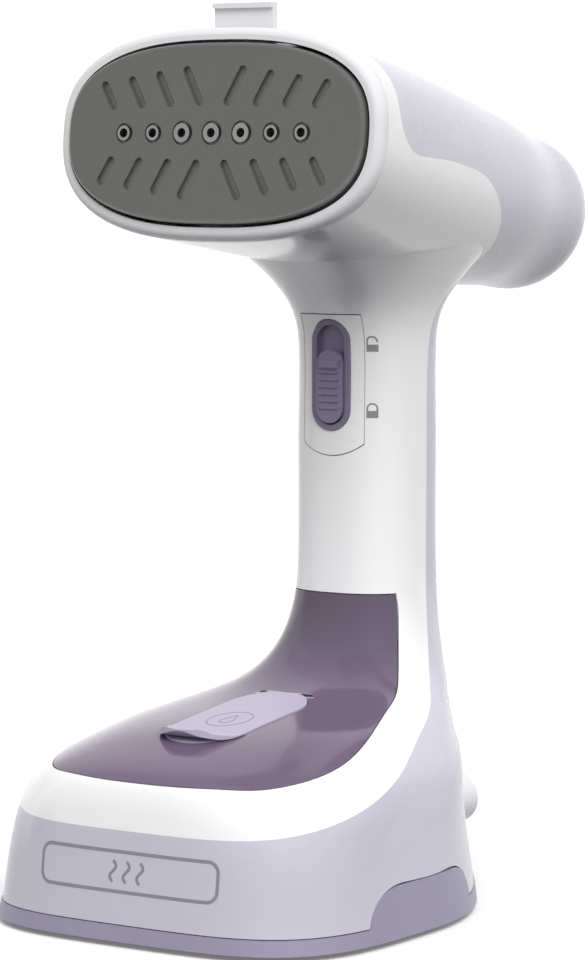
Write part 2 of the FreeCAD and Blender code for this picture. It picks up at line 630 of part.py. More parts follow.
half_w = S.head_width / 2
half_h = S.head_height / 2
open_w = S.plate_width / 2 + S.plate_gap
open_h = S.plate_height / 2 + S.plate_gap
face = S.bezel_front
bezel = Part.makeLoft([oval(half_w, half_h, -0.15), oval(half_w - 0.2, half_h - 0.2, -face * 0.4),
                       oval(half_w - 0.9, half_h - 0.9, -face * 0.75), oval(half_w - 2.6, half_h - 2.6, -face)], True)
sleeve = oval_plug(half_w - S.wall - 1.0, half_h - S.wall - 1.0, 0.2, -3.0)
bezel = bezel.fuse(sleeve).cut(oval_plug(open_w, open_h, 20, -20)).removeSplitter()
feature("plate_bezel", largest(bezel), HEAD_FRAME)

plate_face = S.bezel_front + S.plate_proud
plate_back = plate_face - S.plate_thick
pw = S.plate_width / 2
ph = S.plate_height / 2
plate = Part.makeLoft([oval(pw, ph, -plate_back), oval(pw, ph, -plate_face + 1.2), oval(pw - 0.4, ph - 0.4, -plate_face + 0.3),
                       oval(pw - 1.3, ph - 1.3, -plate_face)], True)
nozzle_row = [(step * S.nozzle_pitch, S.nozzle_radius if abs(step) < 2 else S.outer_nozzle) for step in range(-3, 4)]
FORWARD = Vector(0, -1, 0)
nozzles = []
for x, radius in nozzle_row:
    plate = plate.cut(Part.makeCylinder(radius + 0.05, 20, Vector(x, 0, 0), FORWARD))
    plate = plate.cut(Part.makeCylinder(radius + 0.8, 5, Vector(x, -plate_face + 0.9, 0), FORWARD))
    ring = Part.makeCylinder(radius, S.plate_thick + 0.4, Vector(x, -plate_back, 0), FORWARD)
    ring = ring.cut(Part.makeCylinder(S.nozzle_bore, 20, Vector(x, 0, 0), FORWARD))
    nozzles.append(ring)
slots = []
for place in range(4):
    inner_end = Vector(5.0 + place * 10.3, 0, 9.2 - place * 0.3)
    outer_end = Vector(9.9 + place * 9.8, 0, 18.2 - place * 1.4)
    for sx in (1, -1):
        for sz in (1, -1):
            a = Vector(inner_end.x * sx, -plate_face - 1, inner_end.z * sz)
            b = Vector(outer_end.x * sx, -plate_face - 1, outer_end.z * sz)
            depth = S.slot_depth + 1
            across = (b - a).cross(Vector(0, 1, 0)).normalize() * (S.slot_width / 2)
            bar = Part.Face(Part.makePolygon([a + across, b + across, b - across, a - across, a + across]))
            slots.append(bar.extrude(Vector(0, depth, 0)))
            slots.append(Part.makeCylinder(S.slot_width / 2, depth, a, Vector(0, 1, 0)))
            slots.append(Part.makeCylinder(S.slot_width / 2, depth, b, Vector(0, 1, 0)))
plate = plate.cut(slots)
feature("steam_plate", largest(plate), HEAD_FRAME)
feature("steam_nozzles", Part.makeCompound(nozzles), HEAD_FRAME)

gasket_back = plate_back - S.gasket_thick
gasket = oval_plug(pw - 1.0, ph - 1.0, plate_back, gasket_back).cut(oval_plug(pw - 6.0, ph - 6.0, 20, -20))
feature("plate_gasket", gasket, HEAD_FRAME)

block_back = gasket_back - S.boiler_depth
boiler = rounded_plate(S.boiler_width, S.boiler_height + 12, 14.0, -gasket_back, -block_back - 12)
boiler = boiler.fuse(rounded_plate(S.boiler_width, S.boiler_height, 8.0, -gasket_back, -block_back))
element_y = -block_back - 8.0
leg = S.boiler_width / 2 - 12.0
rise = S.boiler_height / 2 - 8.0
bend = Part.Arc(Vector(leg, element_y, rise), Vector(leg + rise, element_y, 0), Vector(leg, element_y, -rise))
tip = -S.boiler_width / 2 - 4.0
path = Part.Wire([Part.makeLine(Vector(tip, element_y, rise), Vector(leg, element_y, rise)), bend.toShape(),
                  Part.makeLine(Vector(leg, element_y, -rise), Vector(tip, element_y, -rise))])


def tube_along(path, start, heading, radius):
    """A round bar along a path."""
    section = Part.Wire(Part.makeCircle(radius, start, heading))
    return path.makePipeShell([section], True, True)


start = Vector(tip, element_y, rise)
feature("heating_element", tube_along(path, start, Vector(1, 0, 0), S.element_radius), HEAD_FRAME)
boiler = boiler.cut(tube_along(path, start, Vector(1, 0, 0), S.element_radius + 0.05))
cover = rounded_plate(S.boiler_width, S.boiler_height, 8.0, -block_back, -block_back + S.cover_thick)
valve_hole = Part.makeCylinder(2.6, 10, Vector(0, -block_back - 4, 0), Vector(0, 1, 0))
boiler = boiler.cut(valve_hole)
cover = cover.cut(valve_hole)
boiler_screws = []
for sx in (1, -1):
    for sz in (1, -1):
        place = Vector(sx * (S.boiler_width / 2 - 6), 0, sz * (S.boiler_height / 2 - 3.6))
        shank = Part.makeCylinder(1.2, 6 + S.cover_thick, place + Vector(0, -block_back - 6, 0), Vector(0, 1, 0))
        cap = Part.makeCylinder(2.4, 1.6, place + Vector(0, -block_back + S.cover_thick, 0), Vector(0, 1, 0))
        boiler_screws.append(shank.fuse(cap).removeSplitter())
        hole = Part.makeCylinder(1.25, 30, place + Vector(0, -block_back - 6.1, 0), Vector(0, 1, 0))
        boiler = boiler.cut(hole)
        cover = cover.cut(hole)
feature("boiler", largest(boiler), HEAD_FRAME)
feature("boiler_cover", largest(cover), HEAD_FRAME)
feature("boiler_screws", Part.makeCompound(boiler_screws), HEAD_FRAME)
cover_face = -block_back + S.cover_thick


shield = rounded_plate(S.boiler_width + 7, S.boiler_height + 13, 18.0, cover_face - 6.5, cover_face - 5.3)
shield = shield.cut(rounded_plate(S.boiler_width + 0.6, S.boiler_height + 0.6, 8.3, 0, 60))
feature("heat_shield", shield, HEAD_FRAME)

# ---------------------------------------------------------------- tubes and wires


def route(points, bend):
    """A path of straight runs joined by tangent arcs."""
    edges = []
    last = points[0]
    for before, corner, after in zip(points, points[1:], points[2:]):
        back = (before - corner).normalize()
        ahead = (after - corner).normalize()
        turn = math.pi - back.getAngle(ahead)
        reach = bend * math.tan(turn / 2)
        enter = corner + back * reach
        leave = corner + ahead * reach
        bisector = (back + ahead).normalize()
        middle = corner + bisector * (bend / math.cos(turn / 2) - bend)
        edges.append(Part.makeLine(last, enter))
        edges.append(Part.Arc(enter, middle, leave).toShape())
        last = leave
    edges.append(Part.makeLine(last, points[-1]))
    return Part.Wire(edges)


def hose(points, bend, radius, bore):
    """A tube along a route."""
    path = route(points, bend)
    heading = points[1] - points[0]
    body = tube_along(path, points[0], heading, radius)
    return body.cut(tube_along(path, points[0], heading, bore))


def in_head(x, y, z):
    """A point given in the head's own frame."""
    return HEAD_FRAME.multVec(Vector(x, y, z))


VALVE_LENGTH = 14.0
valve = Part.makeCylinder(4.5, VALVE_LENGTH, Vector(0, cover_face, 0), Vector(0, 1, 0))
valve = valve.fuse(Part.makeCylinder(2.5, 3.0, Vector(0, cover_face - 3.0, 0), Vector(0, 1, 0)))
valve = valve.cut(Part.makeCylinder(1.2, 40, Vector(0, 0, 0), Vector(0, 1, 0))).removeSplitter()
feature("check_valve", valve, HEAD_FRAME)

pump_level = S.floor + S.mount_radius + 0.1
pump_front = -S.pump_back - S.pump_length
hose_column = 10.0
hose_points = [
    Vector(-S.pump_side, -S.pump_back + 8, pump_level), Vector(-S.pump_side, 4.0, pump_level),
    Vector(-6.0, hose_column - 1, 50.0), Vector(0, hose_column, S.flare_top),
    Vector(0, hose_column, S.neck_start + 30), Vector(0, hose_column - 6, S.neck_start + 50),
    in_head(0, 60.0, 0), in_head(0, cover_face + VALVE_LENGTH, 0),
]
feature("steam_hose", hose(hose_points, 9.0, S.hose_radius, S.hose_bore))
intake_low = S.tank_floor - 5.0
intake_points = [
    Vector(0, -S.outlet_place, intake_low), Vector(0, -S.outlet_place, pump_level),
    Vector(0, pump_front - 16, pump_level), Vector(-S.pump_side, pump_front - 16, pump_level),
    Vector(-S.pump_side, pump_front - 6, pump_level),
]
feature("intake_tube", hose(intake_points, 4.5, 2.5, 1.3))
loom_points = [
    Vector(S.board_side + 10, -S.board_back + 2, S.board_level + 4), Vector(12.0, -6.0, 16.0),
    Vector(9.5, 6.0, 46.0), Vector(9.0, hose_column - 1, S.flare_top),
    Vector(9.0, hose_column - 1, S.neck_start + 30), Vector(12.0, -10.0, S.neck_start + 52),
    in_head(18.0, cover_face + 9.0, 0),
]
loom_path = route(loom_points, 7.0)
feature("wire_harness", tube_along(loom_path, loom_points[0], loom_points[1] - loom_points[0], 2.0))

# ---------------------------------------------------------------- trigger and lock

panel = stem.copy().common(trigger_prism(0)).cut(stem_form(S.trigger_wall))
ear_y = -S.handle_depth / 2 + S.trigger_wall
for side in (1, -1):
    ear = Part.makeBox(2.0, 6.8, 6.0, Vector(side * 7.0 - 1.0, ear_y - 0.6, S.trigger_pivot - 3.0))
    panel = panel.fuse(ear)
panel = panel.cut(rod(S.pin_radius + S.pin_clearance, 30, TRIGGER_PIN))


def at_lock(shape, level=S.lock_level):
    """Lift a plate drawn about Z = 0 to the lock."""
    shape.translate(Vector(0, 0, level))
    return shape


bezel_face = -S.handle_depth / 2 - 0.4
bezel_back = -S.handle_depth / 2 + 2.4
bezel_floor = -S.handle_depth / 2 + 1.7
corner = S.lock_width / 2 - 0.05
panel = panel.cut(at_lock(rounded_plate(S.lock_width + 0.1, S.lock_height + 0.1, corner, -40, 0)))
feature("trigger", largest(panel.removeSplitter()))
lock_bezel = at_lock(rounded_plate(S.lock_width, S.lock_height, corner, bezel_face, bezel_back))
channel_width = S.slider_width + 2 * S.seam
channel_height = S.slider_height + S.slider_travel + 4 * S.seam
channel = at_lock(rounded_plate(channel_width, channel_height, channel_width / 2 - 0.05, -40, bezel_floor))
SWITCH_LEVEL = 143.0
actuator = Part.makeCylinder(2.0, 2.2, Vector(0, bezel_back, SWITCH_LEVEL), Vector(0, 1, 0))
feature("lock_bezel", largest(lock_bezel.cut(channel).fuse(actuator).removeSplitter()))
slider_level = S.lock_level - (channel_height - S.slider_height) / 2 + 2 * S.seam
slider_face = bezel_face - 0.9
slider = rounded_plate(S.slider_width, S.slider_height, S.slider_width / 2 - 0.05, slider_face, bezel_floor - S.seam)
for step in range(-3, 3):
    slider = slider.fuse(rod(0.55, S.slider_width / 2 - 1.4, Vector(0, slider_face, step * 2.2)))
lip_bar = Part.makeBox(S.slider_width - 2.4, 1.2, 2.4,
                       Vector(1.2 - S.slider_width / 2, slider_face - 0.9, S.slider_height / 2 - 5.4))
slider = at_lock(slider.fuse(lip_bar).removeSplitter(), slider_level)
feature("lock_slider", largest(slider))
feature("trigger_pin", rod(S.pin_radius, trigger_pin_half, TRIGGER_PIN))
coil = Part.makeHelix(1.0, 9.0, 2.1)
coil_end = Vector(2.1, 0, 0)
spring = Part.Wire(coil).makePipeShell([Part.Wire(Part.makeCircle(0.35, coil_end, Vector(0, 1, 0.08)))], True, True)
spring.rotate(Vector(0, 0, 0), Vector(0, 1, 0), 90)
spring.translate(TRIGGER_PIN - Vector(4.5, 0, 0))
feature("trigger_spring", spring)

# ---------------------------------------------------------------- hook on the head

hook = Part.makeBox(S.hook_width, S.hook_thick, S.hook_rise,
                    HOOK_PIVOT + Vector(-S.hook_width / 2, -S.hook_thick / 2, 0))
hook = hook.fuse(rod(2.0, S.hook_width / 2, HOOK_PIVOT))
hook_lip = Part.makeBox(S.hook_width, 1.2, 1.5,
                        HOOK_PIVOT + Vector(-S.hook_width / 2, -S.hook_thick / 2 - 1.2, S.hook_rise - 1.5))
hook = hook.fuse(hook_lip).cut(rod(HOOK_PIN + S.pin_clearance, 30, HOOK_PIVOT)).removeSplitter()
feature("hook", largest(hook))
feature("hook_pin", rod(HOOK_PIN, S.hook_width / 2 + 3.0, HOOK_PIVOT))

# ---------------------------------------------------------------- bound pieces: primitives and bodies


def bind(piece, values):
    """Tie properties of an object to expressions on the sheet."""
    for name, text in values.items():
        piece.setExpression(name, text)


def stand_at(piece, x="0", y="0", z="0"):
    """Tie a piece's place, given about the handle's axis, to the sheet."""
    bind(piece, {
        ".Placement.Base.x": x,
        ".Placement.Base.y": "%s + %s" % (y, SETBACK_TEXT),
        ".Placement.Base.z": "%s + Sizes.foot_height" % z,
    })
    return piece


def box(name, x, y, z):
    piece = doc.addObject("Part::Box", name)
    bind(piece, {"Length": x, "Width": y, "Height": z})
    return piece


def cylinder(name, radius, height, direction=Vector(0, 0, 1)):
    piece = doc.addObject("Part::Cylinder", name)
    bind(piece, {"Radius": radius, "Height": height})
    piece.Placement = Placement(Vector(), Rotation(Vector(0, 0, 1), direction))
    return piece


def fused(name, shapes):
    piece = doc.addObject("Part::MultiFuse", "Fused_" + name)
    piece.Shapes = shapes
    piece.Refine = True
    return finish(piece, name)


def cut(name, base, tool):
    piece = doc.addObject("Part::Cut", "Cut_" + name)
    piece.Base = base
    piece.Tool = tool
    return finish(piece, name)


def body_with_sketch(name, role):
    """A PartDesign body and a sketch on one of its origin planes."""
    body = doc.addObject("PartDesign::Body", "Body_" + name)
    sketch = body.newObject("Sketcher::SketchObject", "Sketch_" + name)
    plane = [item for item in body.Origin.OriginFeatures if item.Role == role][0]
    sketch.AttachmentSupport = [(plane, "")]
    sketch.MapMode = "FlatFace"
    return body, sketch


def add_circle(sketch, radius, across, up):
    """A circle whose radius and centre are expressions."""
    index = sketch.addGeometry(Part.Circle(Vector(1, 1, 0), Vector(0, 0, 1), 1.0), False)
    for kind, text in (("Radius", radius), ("DistanceX", across), ("DistanceY", up)):
        if kind == "Radius":
            number = sketch.addConstraint(Sketcher.Constraint(kind, index, 2.0))
        else:
            number = sketch.addConstraint(Sketcher.Constraint(kind, -1, 1, index, 3, 1.0))
        sketch.setExpression("Constraints[%d]" % number, text)


def add_outline(sketch, corners):
    """A closed outline whose corners are pairs of expressions."""
    count = len(corners)
    rough = [(math.cos(2 * math.pi * i / count) * 9, math.sin(2 * math.pi * i / count) * 9) for i in range(count)]
    first = None
    for index in range(count):
        a = rough[index]
        b = rough[(index + 1) % count]
        line = sketch.addGeometry(Part.LineSegment(Vector(a[0], a[1], 0), Vector(b[0], b[1], 0)), False)
        first = line if first is None else first
    for index in range(count):
        sketch.addConstraint(Sketcher.Constraint("Coincident", first + index, 2, first + (index + 1) % count, 1))
    for index, (across, up) in enumerate(corners):
        for kind, text in (("DistanceX", across), ("DistanceY", up)):
            number = sketch.addConstraint(Sketcher.Constraint(kind, -1, 1, first + index, 1, 1.0))
            sketch.setExpression("Constraints[%d]" % number, text)


def pad(body, sketch, length):
    piece = body.newObject("PartDesign::Pad", "Pad_" + body.Name)
    piece.Profile = sketch
    piece.setExpression("Length", length)
    return piece


# rubber feet: four discs under the strip
body, sketch = body_with_sketch("rubber_feet", "XY_Plane")
for side in ("", "-"):
    add_circle(sketch, "Sizes.foot_radius", side + "Sizes.foot_spread", "-Sizes.foot_front")
    add_circle(sketch, "Sizes.foot_radius", side + "Sizes.heel_spread", "Sizes.foot_back")
pad(body, sketch, "Sizes.foot_height")
stand_at(body, z="-Sizes.foot_height")
finish(body, "rubber_feet")

# control board: a drilled plate
body, sketch = body_with_sketch("control_board", "XY_Plane")
add_outline(sketch, [("0", "0"), ("Sizes.board_width", "0"), ("Sizes.board_width", "Sizes.board_length"),
                     ("0", "Sizes.board_length")])
for across in ("Sizes.board_inset", "Sizes.board_width - Sizes.board_inset"):
    for up in ("Sizes.board_inset", "Sizes.board_length - Sizes.board_inset"):
        add_circle(sketch, "1.1", across, up)
pad(body, sketch, "Sizes.board_thick")
stand_at(body, "Sizes.board_side", "-Sizes.board_back - Sizes.board_length", "Sizes.board_level")
finish(body, "control_board")

# board components: relay, capacitor, connector
relay = stand_at(box("Relay", "15", "19", "11"), "Sizes.board_side + 5",
                 "-Sizes.board_back - Sizes.board_length + 7", "Sizes.board_level + Sizes.board_thick")
capacitor = stand_at(cylinder("Capacitor", "4.5", "13"), "Sizes.board_side + 17",
                     "-Sizes.board_back - 15", "Sizes.board_level + Sizes.board_thick")
connector = stand_at(box("Connector", "7", "6", "6"), "Sizes.board_side + 3",
                     "-Sizes.board_back - 18", "Sizes.board_level + Sizes.board_thick")
group = doc.addObject("Part::Compound", "Group_board_components")
group.Links = [relay, capacitor, connector]
finish(group, "board_components")

# pump: barrel, square coil and two spigots along Y
BACKWARD = Vector(0, 1, 0)
level_text = "Sizes.floor + Sizes.mount_radius + 0.1"
barrel = stand_at(cylinder("PumpBarrel", "Sizes.pump_radius", "Sizes.pump_length", BACKWARD), "-Sizes.pump_side",
                  "-Sizes.pump_back - Sizes.pump_length", level_text)
coil_box = stand_at(box("PumpCoil", "2 * Sizes.pump_radius + 3", "18", "2 * Sizes.pump_radius + 3"),
                    "-Sizes.pump_side - Sizes.pump_radius - 1.5", "-Sizes.pump_back - Sizes.pump_length / 2 - 9",
                    level_text + " - Sizes.pump_radius - 1.5")
spigots = stand_at(cylinder("PumpSpigots", "Sizes.hose_radius - 0.6", "Sizes.pump_length + 14", BACKWARD),
                   "-Sizes.pump_side", "-Sizes.pump_back - Sizes.pump_length - 6", level_text)
fused("pump", [barrel, coil_box, spigots])

# pump mounts: two rubber rings on the barrel
rings = []
for number, place in enumerate(("Sizes.pump_length - 2", "7")):
    ring = stand_at(cylinder("MountRing%d" % number, "Sizes.mount_radius", "5", BACKWARD), "-Sizes.pump_side",
                    "-Sizes.pump_back - (%s)" % place, level_text)
    hole = stand_at(cylinder("MountHole%d" % number, "Sizes.pump_radius + 0.02", "5", BACKWARD), "-Sizes.pump_side",
                    "-Sizes.pump_back - (%s)" % place, level_text)
    piece = doc.addObject("Part::Cut", "Mount%d" % number)
    piece.Base = ring
    piece.Tool = hole
    rings.append(piece)
group = doc.addObject("Part::Compound", "Group_pump_mounts")
group.Links = rings
finish(group, "pump_mounts")

# micro switch behind the trigger, on its bracket
switch_case = stand_at(box("SwitchCase", "6", "6.5", "13"), "-3", "-Sizes.handle_depth / 2 + 8.6", "139")
plunger = stand_at(cylinder("Plunger", "1", "2", BACKWARD), "0", "-Sizes.handle_depth / 2 + 7", "%s" % SWITCH_LEVEL)
fused("micro_switch", [switch_case, plunger])
finish(stand_at(box("Bracket", "Sizes.handle_width - 2 * Sizes.wall - 4.4", "1.6", "34"),
                "-(Sizes.handle_width - 2 * Sizes.wall - 4.4) / 2", "-Sizes.handle_depth / 2 + 15.1", "128"),
       "switch_bracket")

# thermostat and thermal fuse on the boiler cover
thermostat = cylinder("Thermostat", "8", "6", BACKWARD)
thermostat.Placement = Placement(STAND, Rotation()).multiply(HEAD_FRAME).multiply(
    Placement(Vector(18, cover_face, 0), Rotation(Vector(0, 0, 1), BACKWARD)))
finish(thermostat, "thermostat")
fuse_link = cylinder("ThermalFuse", "3", "20", Vector(1, 0, 0))
fuse_link.Placement = Placement(STAND, Rotation()).multiply(HEAD_FRAME).multiply(
    Placement(Vector(-28, cover_face + 3.0, 4.0), Rotation(Vector(0, 0, 1), Vector(1, 0, 0))))
finish(fuse_link, "thermal_fuse")

# cord gland: a turned sleeve with a flange inside the shell and a rounded end outside
body, sketch = body_with_sketch("cord_gland", "YZ_Plane")
round_off = 2.5
add_outline(sketch, [
    ("22", "Sizes.gland_bore"), ("Sizes.gland_end", "Sizes.gland_bore"),
    ("Sizes.gland_end", "Sizes.gland_radius - %s" % round_off),
    ("Sizes.gland_end - 0.8", "Sizes.gland_radius - 1"),
    ("Sizes.gland_end - %s" % round_off, "Sizes.gland_radius"),
    ("26", "Sizes.gland_radius"), ("26", "Sizes.gland_radius + 2"), ("22", "Sizes.gland_radius + 2"),
])
turned = body.newObject("PartDesign::Revolution", "Turned_cord_gland")
turned.Profile = sketch
turned.ReferenceAxis = (sketch, ["H_Axis"])
turned.Angle = 360
stand_at(body, z="Sizes.gland_level")
finish(body, "cord_gland")

# ---------------------------------------------------------------- check and write

doc.recompute()
for item in doc.Objects:
    if "Invalid" in item.State or "Error" in item.State:
        raise RuntimeError("%s: %s" % (item.Label, item.State))
for piece in parts:
    shape = piece.Shape
    if shape.isNull() or not shape.isValid() or not shape.Solids:
        raise RuntimeError("%s has no valid solid" % piece.Label)
    if min(solid.Volume for solid in shape.Solids) <= 0:
        raise RuntimeError("%s is inside out" % piece.Label)
os.makedirs("parts", exist_ok=True)
for piece in parts:
    piece.Shape.exportStep("parts/%s.step" % piece.Label)
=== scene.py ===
"""Looks of a garment steamer: finishes for its CAD pieces, printed marks, a sign of painted shade on the
flap, floor, light and camera.
"""

import math

import bpy
import numpy as np
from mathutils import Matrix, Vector


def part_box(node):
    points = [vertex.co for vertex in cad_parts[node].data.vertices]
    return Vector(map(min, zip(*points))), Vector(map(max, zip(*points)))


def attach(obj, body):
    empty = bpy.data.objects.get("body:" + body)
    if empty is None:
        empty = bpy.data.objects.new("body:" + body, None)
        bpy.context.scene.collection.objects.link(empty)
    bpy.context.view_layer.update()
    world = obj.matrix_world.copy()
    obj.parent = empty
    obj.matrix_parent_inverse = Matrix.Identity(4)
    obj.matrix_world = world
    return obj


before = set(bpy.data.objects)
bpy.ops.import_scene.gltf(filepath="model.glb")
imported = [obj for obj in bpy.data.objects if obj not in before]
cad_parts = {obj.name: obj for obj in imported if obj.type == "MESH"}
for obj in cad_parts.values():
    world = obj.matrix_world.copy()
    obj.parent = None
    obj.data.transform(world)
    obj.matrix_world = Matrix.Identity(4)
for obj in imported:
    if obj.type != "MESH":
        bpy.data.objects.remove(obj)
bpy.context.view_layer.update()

bl_info = {
    "name": "Garment Steamer",
    "version": (1, 0, 0),
    "blender": (4, 5, 0),
    "location": "View3D > Sidebar > Steamer",
    "description": "Finishes, printed marks and studio for a garment steamer",
    "category": "Object",
}

MM = 0.001
HOOK_AHEAD = 66.5 * MM  # the hook's pin stands this far before the handle's axis
STAND_OFF = 5 * MM  # a mark starts this far outside the surface it is laid on
SENSOR_WIDTH = 36.0  # the camera's, in millimetres
CLIP_START = 0.01  # the nearest that the camera sees
HORIZON_BLEND = 0.35  # height over which the room's light turns from ground to ceiling


# ---------------------------------------------------------------- sizes and colours


def colour(name, description, default):
    """A colour setting, linear red, green and blue."""
    return bpy.props.FloatVectorProperty(
        name=name, description=description, default=default, subtype="COLOR", size=3, min=0.0, max=1.0
    )


def length(name, description, default):
    """A length setting in metres."""
    return bpy.props.FloatProperty(
        name=name, description=description, default=default, subtype="DISTANCE", unit="LENGTH", precision=5
    )


def angle(name, description, degrees):
    """An angle setting."""
    return bpy.props.FloatProperty(
        name=name, description=description, default=math.radians(degrees), subtype="ANGLE", unit="ROTATION"
    )


def factor(name, description, default, high=1.0):
    """A plain number setting."""
    return bpy.props.FloatProperty(name=name, description=description, default=default, min=0.0, max=high)


class SteamerColours(bpy.types.PropertyGroup):
    """Colours of the steamer's mouldings and prints, and of the painted light and shade on the tank and on
    the flap's sign.
    """

    white: colour("White", "Front shell, trigger and hook", (0.85, 0.85, 0.855))
    lavender: colour("Lavender", "Rear shell and foot", (0.535, 0.522, 0.600))
    tank: colour("Tank", "Smoky tank where the light passes", (0.155, 0.112, 0.178))
    # painted shade: the colour the tank takes up the handle, where little light comes through
    tank_painted_shade: colour("Deep tank", "Smoky tank where it is thick", (0.112, 0.090, 0.132))
    flap: colour("Flap", "Soft fill flap", (0.445, 0.400, 0.530))
    plum: colour("Plum", "Base strip and side panels", (0.300, 0.275, 0.385))
    lock: colour("Lock", "Lock recess and slider", (0.185, 0.160, 0.245))
    rubber: colour("Rubber", "Feet and seals", (0.060, 0.045, 0.075))
    plate: colour("Plate", "Coated steam plate", (0.165, 0.164, 0.158))
    bezel: colour("Bezel", "Ring round the steam plate", (0.74, 0.74, 0.76))
    mark: colour("Mark", "Printed outlines", (0.24, 0.235, 0.26))
    # painted shade: a dark colour for the flap's engraved sign, standing for the shade in its grooves
    flap_painted_shade: colour("Flap mark", "Engraved sign on the flap", (0.27, 0.225, 0.36))


class SteamerSizes(bpy.types.PropertyGroup):
    """Sizes and places of the printed marks and of the flap sign's painted shade."""

    ink_and_painted_shade: length("Ink", "Thickness of a printed line", 0.06 * MM)
    badge_width: length("Badge width", "Outline on the front of the foot", 62.0 * MM)
    badge_height: length("Badge height", "Outline on the front of the foot", 11.4 * MM)
    badge_corner: length("Badge corner", "Corner radius of the badge", 3.2 * MM)
    badge_line: length("Badge line", "Line width of the badge", 1.0 * MM)
    badge_level: length("Badge level", "Middle of the badge above the table", 21.6 * MM)
    lock_side: length("Padlock side", "Padlocks from the middle plane", 13.0 * MM)
    lock_size: length("Padlock size", "Width of a padlock's body", 3.4 * MM)
    lock_line: length("Padlock line", "Line width of a padlock", 0.5 * MM)
    sign_width: length("Sign width", "Oval sign on the flap", 13.0 * MM)
    sign_length: length("Sign length", "Oval sign on the flap", 16.0 * MM)
    sign_line: length("Sign line", "Line width of the flap's sign", 0.5 * MM)


class SteamerStudio(bpy.types.PropertyGroup):
    """Camera and lights."""

    camera_place: bpy.props.FloatVectorProperty(
        name="Camera place", description="Where the camera stands, from the foot of the handle's axis",
        default=(0.63854, -0.99492, 0.22775), subtype="TRANSLATION", unit="LENGTH", size=3,
    )
    camera_turn: angle("Camera turn", "Camera's turn about the vertical", 33.8)
    camera_dip: angle("Camera dip", "Camera's tilt below the horizon", 4.95)
    camera_lens: bpy.props.FloatProperty(
        name="Lens", description="Focal length", default=142.56, subtype="DISTANCE_CAMERA", unit="CAMERA"
    )
    key: factor("Key light", "Strength of the large soft light in front on the right", 2.6, 50.0)
    key_softness: angle("Key softness", "Width of the key light as the object sees it", 40.0)
    fill: factor("Fill light", "Power of the long light on the left", 0.25, 200.0)
    ceiling: factor("Ceiling", "Strength of the room's light from above", 0.66, 5.0)
    ground: factor("Ground", "Strength of the room's light from below", 0.13, 5.0)
    glow: factor("Backdrop glow", "Light that the paper itself gives", 0.12, 5.0)
    floor: colour("Floor", "Plain pale floor", (0.86, 0.86, 0.87))


# ---------------------------------------------------------------- shader maths


class Term:
    """A value socket that takes part in sums written as Python expressions."""

    def __init__(self, recipe, socket):
        self.recipe = recipe
        self.socket = socket

    def _sum(self, operation, *terms):
        return self.recipe.node("ShaderNodeMath", {"operation": operation}, dict(enumerate(terms)))

    def __add__(self, other):
        return self._sum("ADD", self, other)

    def __sub__(self, other):
        return self._sum("SUBTRACT", self, other)

    def __rsub__(self, other):
        return self._sum("SUBTRACT", other, self)

    def __mul__(self, other):
        return self._sum("MULTIPLY", self, other)

    __radd__ = __add__
    __rmul__ = __mul__


class Recipe:
    """A material under construction: one Principled shader and the nodes that vary it."""

    def __init__(self, name):
        self.material = bpy.data.materials.new(name)
        self.material.use_nodes = True
        self.tree = self.material.node_tree
        self.shader = self.tree.nodes["Principled BSDF"]

    def put(self, socket, value):
        """Links a term to a socket, or sets the socket to a number or a colour."""
        if isinstance(value, Term):
            self.tree.links.new(value.socket, socket)
        elif socket.type == "RGBA":
            socket.default_value = (*value, 1.0)
        else:
            socket.default_value = value

    def node(self, kind, settings, inputs, output=0):
        """A node of that kind with its settings made first, and its inputs linked or set."""
        node = self.tree.nodes.new(kind)
        for key, value in settings.items():
            setattr(node, key, value)
        for key, value in inputs.items():
            self.put(node.inputs[key], value)
        return Term(self, node.outputs[output])

    def place(self, scale=(1.0, 1.0, 1.0)):
        """Object coordinates, stretched."""
        where = self.node("ShaderNodeTexCoord", {}, {}, "Object")
        return self.node("ShaderNodeMapping", {}, {"Vector": where, "Scale": scale})

    def noise(self, scale, detail=3.0, rough=0.5, where=None):
        """Cloudy noise from 0 to 1. Scale counts its cells in a metre."""
        inputs = {"Vector": where or self.place(), "Scale": scale, "Detail": detail, "Roughness": rough}
        return self.node("ShaderNodeTexNoise", {}, inputs)

    def cells(self, scale, output="Distance", settings=None):
        """Voronoi cells. Scale counts them in a metre."""
        inputs = {"Vector": self.place(), "Scale": scale}
        return self.node("ShaderNodeTexVoronoi", settings or {}, inputs, output)

    def height(self, low, high):
        """0 at the lower height and below, 1 at the upper height and above."""
        where = self.node("ShaderNodeTexCoord", {}, {}, "Object")
        return self.step(self.node("ShaderNodeSeparateXYZ", {}, {0: where}, "Z"), low, high)

    def step(self, term, low, high):
        """0 where the term is below low, 1 where it is above high, smooth between."""
        return self.node(
            "ShaderNodeMapRange", {"interpolation_type": "SMOOTHSTEP"},
            {"Value": term, "From Min": low, "From Max": high},
        )

    def mix(self, share, first, second):
        """The first colour where the share is 0, and the second where it is 1."""
        node = self.tree.nodes.new("ShaderNodeMix")
        node.data_type = "RGBA"
        into = {socket.identifier: socket for socket in node.inputs}
        out = {socket.identifier: socket for socket in node.outputs}
        self.put(into["Factor_Float"], share)
        self.put(into["A_Color"], first)
        self.put(into["B_Color"], second)
        return Term(self, out["Result_Color"])

    def bump(self, height, depth):
        """Lifts the shading normal by a height term times a depth in metres."""
        normal = self.node("ShaderNodeBump", {}, {"Height": height, "Distance": depth})
        self.put(self.shader.inputs["Normal"], normal)

    def finish(self, base, rough, **constants):
        """Sets the base colour, the roughness and the shader's other sockets, and hands back the material."""
        self.put(self.shader.inputs["Base Color"], base)
        self.put(self.shader.inputs["Roughness"], rough)
        for name, value in constants.items():
            self.shader.inputs[name.replace("_", " ")].default_value = value
        return self.material


def tones(tint, shift):
    """A darker and a lighter tone of one colour."""
    return tuple(c * (1.0 - shift) for c in tint), tuple(min(1.0, c * (1.0 + shift)) for c in tint)


